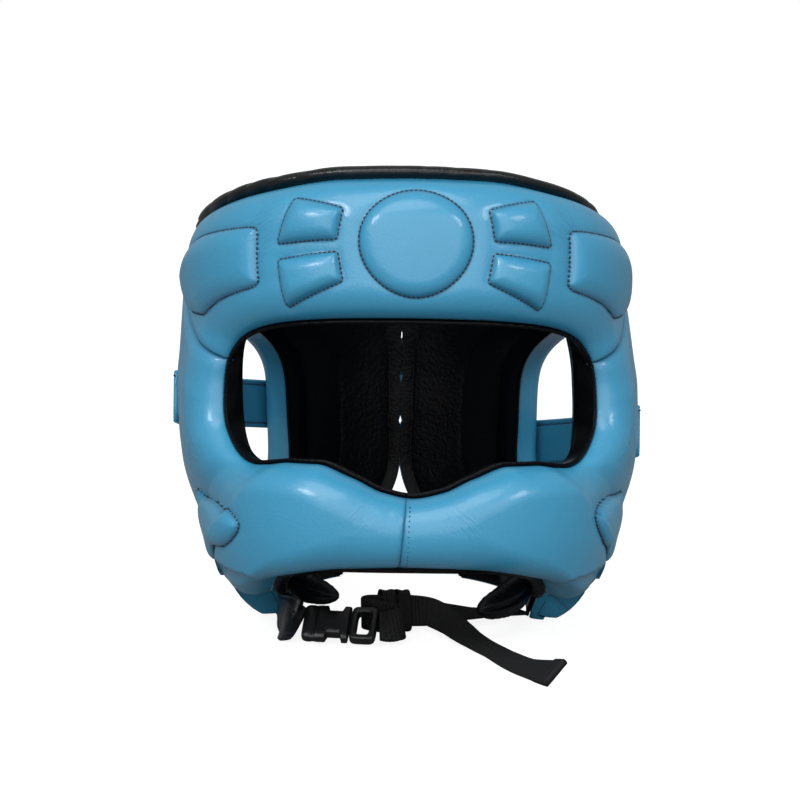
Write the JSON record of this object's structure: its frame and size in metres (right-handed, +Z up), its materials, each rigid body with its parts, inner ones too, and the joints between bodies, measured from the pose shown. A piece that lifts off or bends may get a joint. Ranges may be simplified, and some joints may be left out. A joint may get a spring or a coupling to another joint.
{
  "type": "padded boxing head guard with face bar",
  "caption": "Padded leather head guard with a padded bar across the nose and mouth, open crown, ear openings, laced back and a buckled chin strap; it rests on its jaw and neck edges.",
  "frame": {"origin": "middle of the whole part's box on the surface that it rests on", "axes": "+Z up, -Y the way the face looks, +X to the right as seen from the front"},
  "size_m": [0.2322, 0.2949, 0.2246],
  "materials": {
    "blue_leather": "smooth satin leather with a soft gloss",
    "black_lining": "thin soft leather lining",
    "black_leather": "grained leather edging",
    "webbing": "ribbed woven webbing",
    "buckle_plastic": "moulded plastic"
  },
  "bodies": {
    "root": {"forehead_pad": "blue_leather", "face_pad_left": "blue_leather", "face_pad_right": "blue_leather", "back_pad_left": "blue_leather", "back_pad_right": "blue_leather", "brow_disc": "blue_leather", "brow_pad_upper_left": "blue_leather", "brow_pad_upper_right": "blue_leather", "brow_pad_lower_left": "blue_leather", "brow_pad_lower_right": "blue_leather", "temple_pad_left": "blue_leather", "temple_pad_right": "blue_leather", "cheek_pad_left": "blue_leather", "cheek_pad_right": "blue_leather", "ear_strap_left": "blue_leather", "ear_strap_right": "blue_leather", "forehead_lining": "black_lining", "face_lining_left": "black_lining", "face_lining_right": "black_lining", "back_lining_left": "black_lining", "back_lining_right": "black_lining", "jaw_flap_left": "black_lining", "jaw_flap_right": "black_lining", "rim_front": "black_leather", "rim_back_left": "black_leather", "rim_back_right": "black_leather", "strap_tab": "black_leather", "chin_strap": "webbing", "strap_tail": "webbing", "strap_keeper_1": "webbing", "strap_keeper_2": "webbing", "back_lace_left": "webbing", "back_lace_right": "webbing", "buckle_socket": "buckle_plastic", "buckle_plug": "buckle_plastic"}
  },
  "joints": []
}
